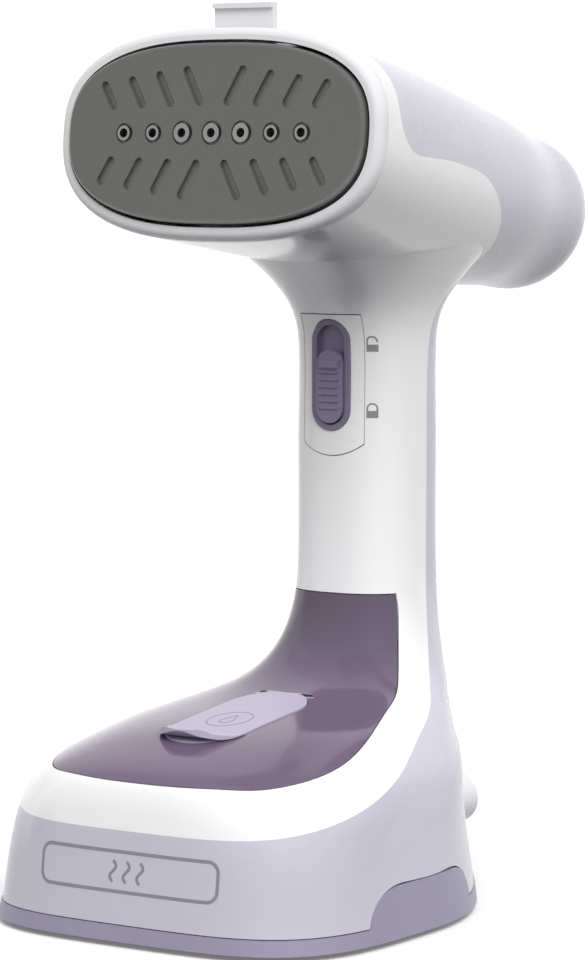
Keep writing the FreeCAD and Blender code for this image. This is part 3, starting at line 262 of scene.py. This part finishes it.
def moulded(name, tint, rough=0.22, coat=0.35, grain=0.012, shift=0.02):
    """Glossy moulded plastic: faint flow clouds in its colour, fine orange peel, rub marks in its gloss."""
    r = Recipe(name)
    clouds = r.noise(22.0, 4.0)
    dark, light = tones(tint, shift)
    rub = r.noise(90.0, 5.0, 0.6, r.place((1.0, 1.0, 0.35)))
    r.bump(r.noise(900.0, 2.0) * 0.7 + r.noise(130.0, 1.0) * 0.3, grain * MM)
    return r.finish(
        r.mix(clouds, dark, light), rub * 0.10 + (rough - 0.05),
        Coat_Weight=coat, Coat_Roughness=0.08, IOR=1.49, Specular_IOR_Level=0.5,
    )


def satin(name, tint, rough=0.42, grain=0.02, shift=0.05):
    """Satin plastic with a spark-eroded grain."""
    r = Recipe(name)
    dark, light = tones(tint, shift)
    pits = r.cells(1500.0)
    clouds = r.noise(60.0, 4.0)
    r.bump(pits * 0.6 + r.noise(2600.0, 2.0) * 0.4, grain * MM)
    return r.finish(r.mix(clouds, dark, light), clouds * 0.14 + (rough - 0.07), IOR=1.48)


def smoky(name, painted_light_tint, painted_shade_tint, low, high):
    """Smoky see-through plastic of a tank, drawn opaque with a wet gloss: painted light keeps it paler low
    down, and painted shade makes it deeper in tone as it climbs the handle.
    """
    r = Recipe(name)
    climb = r.height(low, high)
    clouds = r.noise(14.0, 3.0)
    # painted shade: the share of the deep colour grows up the handle and with the clouds; the paler low part
    # is painted light
    depth = r.step(climb * 0.8 + clouds * 0.35, 0.05, 1.05)
    r.bump(r.noise(60.0, 2.0), 0.03 * MM)
    return r.finish(
        r.mix(depth, painted_light_tint, painted_shade_tint), clouds * 0.05 + 0.10,
        Coat_Weight=0.15, Coat_Roughness=0.05, IOR=1.42, Specular_IOR_Level=0.42,
    )


def rubbery(name, tint, rough=0.55, grain=0.05):
    """Soft rubber: powdery, with a fine pebbled skin."""
    r = Recipe(name)
    dark, light = tones(tint, 0.06)
    dust = r.noise(160.0, 5.0, 0.65)
    r.bump(r.cells(2200.0) * 0.5 + r.noise(700.0, 3.0) * 0.5, grain * MM)
    return r.finish(r.mix(dust, dark, light), dust * 0.16 + (rough - 0.08), Sheen_Weight=0.12, IOR=1.5)


def coated_metal(name, tint, rough=0.34):
    """Coated soleplate: metal flakes under a hard glaze."""
    r = Recipe(name)
    flakes = r.cells(2600.0, "Color")
    grey = r.node("ShaderNodeRGBToBW", {}, {0: flakes})
    dark, light = tones(tint, 0.16)
    sweep = r.noise(18.0, 3.0)
    r.bump(r.noise(1800.0, 2.0), 0.012 * MM)
    r.put(r.shader.inputs["Metallic"], grey * 0.25 + 0.35)
    return r.finish(r.mix(grey * 0.7 + sweep * 0.3, dark, light), sweep * 0.12 + (rough - 0.06),
                    Coat_Weight=0.3, Coat_Roughness=0.15)


def metal(name, tint, rough=0.3, along=(1.0, 1.0, 12.0), grain=0.01):
    """Bare metal with drawn lines across its length and dull patches."""
    r = Recipe(name)
    lines = r.noise(500.0, 4.0, 0.7, r.place(along))
    stain = r.noise(70.0, 4.0)
    dark, light = tones(tint, 0.10)
    r.bump(lines, grain * MM)
    return r.finish(r.mix(lines * 0.6 + stain * 0.4, dark, light), stain * 0.22 + (rough - 0.1), Metallic=1.0)


def cast(name, tint):
    """Sand-grey pressure casting with a granular skin."""
    r = Recipe(name)
    sand = r.noise(1100.0, 4.0, 0.7)
    flow = r.noise(40.0, 3.0)
    dark, light = tones(tint, 0.12)
    r.bump(sand * 0.8 + flow * 0.2, 0.06 * MM)
    return r.finish(r.mix(sand * 0.5 + flow * 0.5, dark, light), sand * 0.2 + 0.42, Metallic=0.9)


def board_laminate(name):
    """Green circuit board: copper tracks show as paler lines under the lacquer."""
    r = Recipe(name)
    tracks = r.step(r.cells(260.0, "Distance", {"feature": "DISTANCE_TO_EDGE"}), 0.06, 0.09)
    weave = r.noise(900.0, 2.0)
    tint = r.mix(tracks, (0.10, 0.33, 0.14), (0.020, 0.12, 0.045))
    r.bump(1.0 - tracks + weave * 0.1, 0.03 * MM)
    return r.finish(tint, weave * 0.1 + 0.25, Coat_Weight=0.3)


def mica_sheet(name):
    """Mica: stacked flakes of straw and silver."""
    r = Recipe(name)
    flakes = r.node("ShaderNodeRGBToBW", {}, {0: r.cells(420.0, "Color")})
    clouds = r.noise(90.0, 4.0)
    r.bump(flakes, 0.04 * MM)
    tint = r.mix(flakes * 0.6 + clouds * 0.4, (0.52, 0.42, 0.26), (0.80, 0.74, 0.60))
    return r.finish(tint, flakes * 0.2 + 0.25)


def silicone(name):
    """Milky silicone tube."""
    r = Recipe(name)
    milk = r.noise(200.0, 3.0)
    r.bump(r.noise(1500.0, 2.0), 0.02 * MM)
    return r.finish(r.mix(milk, (0.66, 0.65, 0.60), (0.82, 0.81, 0.78)), milk * 0.15 + 0.3, IOR=1.41)


def ink_and_painted_shade(name, tint):
    """Printed ink, also used for the painted shade of the flap's engraved sign: slightly uneven cover and a
    dull gloss.
    """
    r = Recipe(name)
    cover = r.noise(1200.0, 3.0)
    dark, light = tones(tint, 0.08)
    r.bump(cover, 0.004 * MM)
    return r.finish(r.mix(cover, dark, light), cover * 0.1 + 0.34)


def dress(material, *names):
    """Makes that material the only one of the named CAD nodes."""
    for name in names:
        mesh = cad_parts[name].data
        mesh.materials.clear()
        mesh.materials.append(material)


# ---------------------------------------------------------------- marks laid on a surface


def rounded_outline(width, height, radius, count):
    """Points round a rectangle with round corners. The distance along the outline is the parameter:
    each straight side is walked at an even pace and each corner is a quarter circle."""
    flat_w = width - 2 * radius
    flat_h = height - 2 * radius
    arc = radius * math.pi / 2
    spans = np.array([flat_h / 2, arc, flat_w, arc, flat_h, arc, flat_w, arc, flat_h / 2])
    ends = np.concatenate([[0], np.cumsum(spans)])
    along = np.linspace(0, ends[-1], count, endpoint=False)
    span = np.clip(np.searchsorted(ends, along, "right") - 1, 0, 8)
    part = along - ends[span]
    corner = span % 2 == 1
    side = (span + 1) // 2 % 4
    turn = side * math.pi / 2
    lead = np.where(span == 0, part, part - np.where(side % 2 == 0, flat_h, flat_w) / 2)
    # a straight side runs square to its outward direction, at half the width or half the height
    reach = np.where(side % 2 == 0, width, height) / 2
    x = reach * np.cos(turn) - lead * np.sin(turn)
    y = reach * np.sin(turn) + lead * np.cos(turn)
    quarter = (span - 1) // 2
    sweep = quarter * math.pi / 2 + part / radius
    middle_x = flat_w / 2 * np.array([1, -1, -1, 1])[quarter % 4]
    middle_y = flat_h / 2 * np.array([1, 1, -1, -1])[quarter % 4]
    x = np.where(corner, middle_x + radius * np.cos(sweep), x)
    y = np.where(corner, middle_y + radius * np.sin(sweep), y)
    return x, y


def ribbon(x, y, width, closed):
    """A flat ribbon round a line: each of the line's points is doubled by half the width to each side,
    square to the line's direction there. Hands back corner points and quads."""
    if closed:
        dx = np.roll(x, -1) - np.roll(x, 1)
        dy = np.roll(y, -1) - np.roll(y, 1)
    else:
        dx = np.gradient(x)
        dy = np.gradient(y)
    size = np.hypot(dx, dy)
    across = np.array([-0.5, 0.0, 0.5]) * width
    u = x[:, None] + dy[:, None] / size[:, None] * across
    v = y[:, None] - dx[:, None] / size[:, None] * across
    count = len(x)
    row = np.arange(count if closed else count - 1)[:, None]
    column = np.arange(2)
    near = row * 3 + column
    far = (row + 1) % count * 3 + column
    quads = np.stack([near, near + 1, far + 1, far], -1).reshape(-1, 4)
    return np.stack([u.ravel(), v.ravel()], 1), quads


def block(width, height, cells):
    """A filled rectangle as a square grid of cells, centred."""
    across, up = np.meshgrid(np.linspace(-0.5, 0.5, cells + 1), np.linspace(-0.5, 0.5, cells + 1))
    first = (np.arange(cells)[:, None] * (cells + 1) + np.arange(cells)).ravel()
    quads = np.stack([first, first + 1, first + cells + 2, first + cells + 1], -1)
    return np.stack([across.ravel() * width, up.ravel() * height], 1), quads


def join(parts):
    """Several flat patches as one."""
    starts = np.cumsum([0] + [len(points) for points, quads in parts[:-1]])
    points = np.concatenate([points for points, quads in parts])
    quads = np.concatenate([part[1] + start for part, start in zip(parts, starts)])
    return points, quads


def lay(name, patch, node, body, across, up, origin, along, thick, material):
    """Lays a flat patch on a CAD node: a patch point (u, v) starts at origin + u across + v up, is carried
    along a direction until it meets the node, and the sheet there gets the thickness of a printed or
    painted-shade mark."""
    points, quads = patch
    place = np.array(origin) + points[:, :1] * np.array(across) + points[:, 1:] * np.array(up)
    mesh = bpy.data.meshes.new(name)
    mesh.from_pydata(place.tolist(), [], quads.tolist())
    piece = bpy.data.objects.new(name, mesh)
    bpy.context.scene.collection.objects.link(piece)
    wrap = piece.modifiers.new("Lay", "SHRINKWRAP")
    wrap.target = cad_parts[node]
    wrap.wrap_method = "PROJECT"
    wrap.wrap_mode = "ABOVE_SURFACE"
    wrap.offset = thick * 0.5
    use = int(np.argmax(np.abs(along)))
    wrap.use_project_x, wrap.use_project_y, wrap.use_project_z = use == 0, use == 1, use == 2
    wrap.use_positive_direction = along[use] > 0
    wrap.use_negative_direction = along[use] < 0
    solid = piece.modifiers.new("Ink", "SOLIDIFY")
    solid.thickness = thick
    solid.offset = 0.0
    bpy.context.view_layer.update()
    graph = bpy.context.evaluated_depsgraph_get()
    laid = bpy.data.meshes.new_from_object(piece.evaluated_get(graph), depsgraph=graph)
    piece.modifiers.clear()
    piece.data = laid
    bpy.data.meshes.remove(mesh)
    laid.name = name
    laid.materials.clear()
    laid.materials.append(material)
    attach(piece, body)


# ---------------------------------------------------------------- operators: finishes


class StepOperator(bpy.types.Operator):
    """Shared access to the settings."""

    bl_options = {"REGISTER", "UNDO"}

    @property
    def colours(self):
        return bpy.context.scene.steamer_colours

    @property
    def sizes(self):
        return bpy.context.scene.steamer_sizes


class STEAMER_OT_shells(StepOperator):
    """Finish the shells, trigger, hook and cord gland."""

    bl_idname = "steamer.shells"
    bl_label = "Shells"

    def execute(self, context):
        tints = self.colours
        dress(moulded("white_shell", tints.white, 0.20, 0.4), "front_shell", "trigger")
        dress(moulded("lavender_shell", tints.lavender, 0.26, 0.3, shift=0.03), "rear_shell")
        dress(moulded("pale_trim", tints.bezel, 0.26, 0.25), "hook", "cord_gland", "plate_bezel")
        return {"FINISHED"}


class STEAMER_OT_tank(StepOperator):
    """Finish the tank and its filter; the base step finishes its seal."""

    bl_idname = "steamer.tank"
    bl_label = "Tank"

    def execute(self, context):
        tints = self.colours
        low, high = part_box("water_tank")
        rise = high.z - low.z
        # painted light below this height, painted shade above the next
        painted_light_below = low.z + 0.45 * rise
        painted_shade_above = high.z - 0.1 * rise
        dress(smoky("smoky_tank", tints.tank, tints.tank_painted_shade, painted_light_below, painted_shade_above), "water_tank")
        dress(silicone("filter_mesh"), "tank_filter")
        return {"FINISHED"}


class STEAMER_OT_flap(StepOperator):
    """Finish the fill flap and its plug."""

    bl_idname = "steamer.flap"
    bl_label = "Fill flap"

    def execute(self, context):
        dress(rubbery("flap_rubber", self.colours.flap, 0.42, 0.02), "fill_flap", "fill_plug")
        return {"FINISHED"}


class STEAMER_OT_base(StepOperator):
    """Finish the base plate and the rubber parts."""

    bl_idname = "steamer.base"
    bl_label = "Base"

    def execute(self, context):
        dress(satin("plum_plastic", self.colours.plum, 0.36), "base_plate")
        dress(rubbery("dark_rubber", self.colours.rubber, 0.62, 0.06),
              "rubber_feet", "tank_seal", "plate_gasket", "pump_mounts")
        return {"FINISHED"}


class STEAMER_OT_plate(StepOperator):
    """Finish the steam plate and its nozzles."""

    bl_idname = "steamer.plate"
    bl_label = "Steam plate"

    def execute(self, context):
        dress(coated_metal("plate_coating", self.colours.plate), "steam_plate")
        dress(metal("nozzle_steel", (0.42, 0.42, 0.41), 0.36, (1.0, 6.0, 1.0)), "steam_nozzles")
        return {"FINISHED"}


class STEAMER_OT_lock(StepOperator):
    """Finish the lock's recess and slider."""

    bl_idname = "steamer.lock"
    bl_label = "Lock"

    def execute(self, context):
        dress(satin("lock_recess", self.colours.lock, 0.34, 0.012), "lock_bezel")
        grip = tuple(c * 1.15 for c in self.colours.lock)
        dress(satin("lock_grip", grip, 0.36, 0.015), "lock_slider")
        return {"FINISHED"}


class STEAMER_OT_inside(StepOperator):
    """Finish the parts inside."""

    bl_idname = "steamer.inside"
    bl_label = "Inside"

    def execute(self, context):
        dress(cast("cast_aluminium", (0.60, 0.60, 0.60)), "boiler", "boiler_cover")
        dress(metal("drawn_steel", (0.58, 0.58, 0.57)), "flap_pin", "hook_pin", "trigger_pin",
              "trigger_spring", "heating_element", "pump", "thermostat", "thermal_fuse")
        dress(metal("screw_steel", (0.50, 0.49, 0.47), 0.38, (8.0, 8.0, 1.0)),
              "base_screws", "board_screws", "boiler_screws")
        dress(metal("brass", (0.78, 0.56, 0.24), 0.26), "check_valve")
        dress(board_laminate("board_laminate"), "control_board")
        dress(satin("black_moulding", (0.022, 0.022, 0.024), 0.44), "board_components", "micro_switch",
              "switch_bracket")
        dress(rubbery("wire_cover", (0.035, 0.034, 0.036), 0.5, 0.02), "wire_harness")
        dress(mica_sheet("mica"), "heat_shield")
        dress(silicone("silicone_tube"), "steam_hose", "intake_tube")
        return {"FINISHED"}


# ---------------------------------------------------------------- operators: marks


class STEAMER_OT_badge(StepOperator):
    """Print the badge's outline, with three plain wisps of steam in it, on the front of the foot."""

    bl_idname = "steamer.badge"
    bl_label = "Badge"

    def execute(self, context):
        s = self.sizes
        outline = rounded_outline(s.badge_width, s.badge_height, s.badge_corner, 240)
        parts = [ribbon(*outline, s.badge_line, True)]
        rise = np.linspace(-1.0, 1.0, 41)
        for place in (-1, 0, 1):
            # a wisp swings about its place as it climbs: x = pitch place + swing sin(pi t), y = reach t
            x = place * s.badge_height * 0.42 + s.badge_height * 0.09 * np.sin(rise * math.pi)
            parts.append(ribbon(x, rise * s.badge_height * 0.27, s.badge_line * 0.9, False))
        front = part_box("rear_shell")[0].y
        origin = (0, front - STAND_OFF, s.badge_level)
        lay("badge", join(parts), "rear_shell", "housing", (1, 0, 0), (0, 0, 1),
            origin, (0, 1, 0), s.ink_and_painted_shade, ink_and_painted_shade("badge_ink", self.colours.mark))
        return {"FINISHED"}


class STEAMER_OT_padlocks(StepOperator):
    """Print an open and a closed padlock beside the lock slider."""

    bl_idname = "steamer.padlocks"
    bl_label = "Padlocks"

    def execute(self, context):
        s = self.sizes
        low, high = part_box("lock_bezel")
        material = ink_and_painted_shade("padlock_ink", self.colours.mark)
        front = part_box("trigger")[0].y
        size = s.lock_size
        tall = size * 0.64
        radius = size * 0.42
        across = (0.88, 0, 0)  # the slope of the surface widens a print again as it is laid
        turn = np.linspace(0, math.pi, 25)
        for name, level, lift, near_leg in (
            ("padlock_open", high.z - 7.8 * MM, 0.30, 0.24),
            ("padlock_closed", low.z + 6.3 * MM, 0.22, 0.0),
        ):
            # shackle: a half circle on two legs; the open one's near leg stops short of the body
            x = np.concatenate([[radius], radius * np.cos(turn), [-radius]])
            y = np.concatenate([[near_leg * size], size * lift + radius * np.sin(turn), [0.0]]) + tall / 2
            parts = [block(size, tall, 8), ribbon(x, y, s.lock_line, False)]
            origin = (s.lock_side, front - STAND_OFF, level - size * 0.3)
            lay(name, join(parts), "front_shell", "housing", across, (0, 0, 1),
                origin, (0, 1, 0), s.ink_and_painted_shade, material)
        return {"FINISHED"}


class STEAMER_OT_sign(StepOperator):
    """Paint the shade of an engraved oval with a drop in it on the fill flap: a dark sheet laid on the flap.
    """

    bl_idname = "steamer.sign"
    bl_label = "Flap sign"

    def execute(self, context):
        s = self.sizes
        turn = np.linspace(0, 2 * math.pi, 120, endpoint=False)
        ring = ribbon(s.sign_width / 2 * np.cos(turn), s.sign_length / 2 * np.sin(turn), s.sign_line, True)
        # a drop: an upright oval whose width shrinks evenly towards its top
        size = s.sign_width * 0.22
        drop_x = size * np.cos(turn) * (1 - 0.5 * (1 + np.sin(turn)) * 0.9)
        drop_y = size * 1.5 * np.sin(turn)
        drop = ribbon(drop_x, drop_y, s.sign_line, True)
        low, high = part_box("fill_flap")
        origin = (0, low.y + (high.y - low.y) * 0.46, high.z + STAND_OFF)
        # painted shade: the dark sheet lies where the engraving's grooves would be in shade
        lay("flap_sign", join([ring, drop]), "fill_flap", "fill_flap", (1, 0, 0), (0, 1, 0),
            origin, (0, 0, -1), s.ink_and_painted_shade, ink_and_painted_shade("sign_painted_shade", self.colours.flap_painted_shade))
        return {"FINISHED"}


# ---------------------------------------------------------------- operator: stage


def aim(piece, direction):
    """Turns a lamp so that it shines along a direction."""
    piece.rotation_mode = "QUATERNION"
    piece.rotation_quaternion = Vector(direction).to_track_quat("-Z", "Y")


def lamp(name, kind, power):
    """A new lamp in the scene."""
    light = bpy.data.lights.new(name, kind)
    light.energy = power
    piece = bpy.data.objects.new(name, light)
    bpy.context.scene.collection.objects.link(piece)
    return piece


def paper_sweep(turn):
    """A sheet of studio paper: flat on the table, then a quarter circle, then straight up. Its profile (d, z)
    is carried sideways; d runs away from the camera."""
    near, reach, radius, rise, half = -6.0, 1.6, 1.2, 4.0, 7.0
    bend = np.linspace(0, math.pi / 2, 33)
    away = np.concatenate([[near], reach + radius * np.sin(bend), [reach + radius]])
    up = np.concatenate([[0.0], radius * (1 - np.cos(bend)), [rise]])
    side = np.linspace(-half, half, 3)
    d, x = np.meshgrid(away, side, indexing="ij")
    z = np.repeat(up[:, None], 3, 1)
    east = x * math.cos(turn) - d * math.sin(turn)
    north = x * math.sin(turn) + d * math.cos(turn)
    points = np.stack([east, north, z], -1)
    row = np.arange(len(away) - 1)[:, None] * 3
    first = row + np.arange(2)
    quads = np.stack([first, first + 1, first + 4, first + 3], -1).reshape(-1, 4)
    mesh = bpy.data.meshes.new("paper_sweep")
    mesh.from_pydata(points.reshape(-1, 3).tolist(), [], quads.tolist())
    mesh.polygons.foreach_set("use_smooth", np.ones(len(quads), bool))
    return mesh


class STEAMER_OT_stage(StepOperator):
    """Lay the paper, and set the lights and the camera."""

    bl_idname = "steamer.stage"
    bl_label = "Stage"

    def execute(self, context):
        studio = context.scene.steamer_studio
        scene = context.scene
        mesh = paper_sweep(studio.camera_turn)
        floor = bpy.data.objects.new("floor", mesh)
        scene.collection.objects.link(floor)
        floor.visible_diffuse = False
        paper = Recipe("floor_paper")
        dark, light = tones(studio.floor, 0.01)
        mesh.materials.append(paper.finish(
            paper.mix(paper.noise(3.0), dark, light), 0.8, Specular_IOR_Level=0.1,
            Emission_Color=(1.0, 1.0, 1.0, 1.0), Emission_Strength=studio.glow,
        ))
        key = lamp("key_light", "SUN", studio.key)
        key.data.angle = studio.key_softness
        key.visible_glossy = False
        aim(key, (-0.55, 0.50, -0.67))
        fill = lamp("fill_light", "AREA", studio.fill)
        fill.data.shape = "RECTANGLE"
        fill.data.size, fill.data.size_y = 0.25, 1.2
        fill.location = (-0.9, -0.25, 0.45)
        aim(fill, (0.9, 0.15, -0.25))
        scene.world = self.room(studio)
        lens = bpy.data.cameras.new("camera")
        lens.lens = studio.camera_lens
        lens.sensor_width = SENSOR_WIDTH
        lens.clip_start = CLIP_START
        camera = bpy.data.objects.new("camera", lens)
        scene.collection.objects.link(camera)
        hook_low, hook_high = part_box("hook_pin")
        axis = (hook_low.y + hook_high.y) / 2 + HOOK_AHEAD
        camera.location = Vector(studio.camera_place) + Vector((0.0, axis, 0.0))
        camera.rotation_euler = (math.pi / 2 - studio.camera_dip, 0.0, studio.camera_turn)
        scene.camera = camera
        scene.view_settings.view_transform = "Standard"
        return {"FINISHED"}

    def room(self, studio):
        """Even light all round, stronger from above than from below."""
        world = bpy.data.worlds.new("room")
        world.use_nodes = True
        tree = world.node_tree
        back = tree.nodes["Background"]
        where = tree.nodes.new("ShaderNodeTexCoord")
        level = tree.nodes.new("ShaderNodeSeparateXYZ")
        span = tree.nodes.new("ShaderNodeMapRange")
        span.interpolation_type = "SMOOTHSTEP"
        span.inputs["From Min"].default_value = -HORIZON_BLEND
        span.inputs["From Max"].default_value = HORIZON_BLEND
        span.inputs["To Min"].default_value = studio.ground
        span.inputs["To Max"].default_value = studio.ceiling
        tree.links.new(where.outputs["Generated"], level.inputs[0])
        tree.links.new(level.outputs["Z"], span.inputs["Value"])
        tree.links.new(span.outputs["Result"], back.inputs["Strength"])
        back.inputs["Color"].default_value = (1.0, 1.0, 1.0, 1.0)
        return world


STEPS = (
    STEAMER_OT_shells, STEAMER_OT_tank, STEAMER_OT_flap, STEAMER_OT_base, STEAMER_OT_plate, STEAMER_OT_lock,
    STEAMER_OT_inside, STEAMER_OT_badge, STEAMER_OT_padlocks, STEAMER_OT_sign, STEAMER_OT_stage,
)
GROUPS = {"steamer_colours": SteamerColours, "steamer_sizes": SteamerSizes, "steamer_studio": SteamerStudio}


class STEAMER_PT_panel(bpy.types.Panel):
    """The steps in the order in which they run, and the settings."""

    bl_label = "Garment Steamer"
    bl_idname = "STEAMER_PT_panel"
    bl_space_type = "VIEW_3D"
    bl_region_type = "UI"
    bl_category = "Steamer"

    def draw(self, context):
        for step in STEPS:
            self.layout.operator(step.bl_idname)
        for name, group in GROUPS.items():
            box = self.layout.box()
            for setting in group.__annotations__:
                box.prop(getattr(context.scene, name), setting)


def register():
    """Registers the settings, the steps and the panel."""
    for name, group in GROUPS.items():
        bpy.utils.register_class(group)
        setattr(bpy.types.Scene, name, bpy.props.PointerProperty(type=group))
    for kind in (*STEPS, STEAMER_PT_panel):
        bpy.utils.register_class(kind)


def unregister():
    """Takes them away again."""
    for kind in reversed((*STEPS, STEAMER_PT_panel)):
        bpy.utils.unregister_class(kind)
    for name, group in GROUPS.items():
        delattr(bpy.types.Scene, name)
        bpy.utils.unregister_class(group)


def main():
    """Runs every step."""
    register()
    for step in STEPS:
        group, name = step.bl_idname.split(".")
        getattr(getattr(bpy.ops, group), name)()


if __name__ == "__main__":
    main()
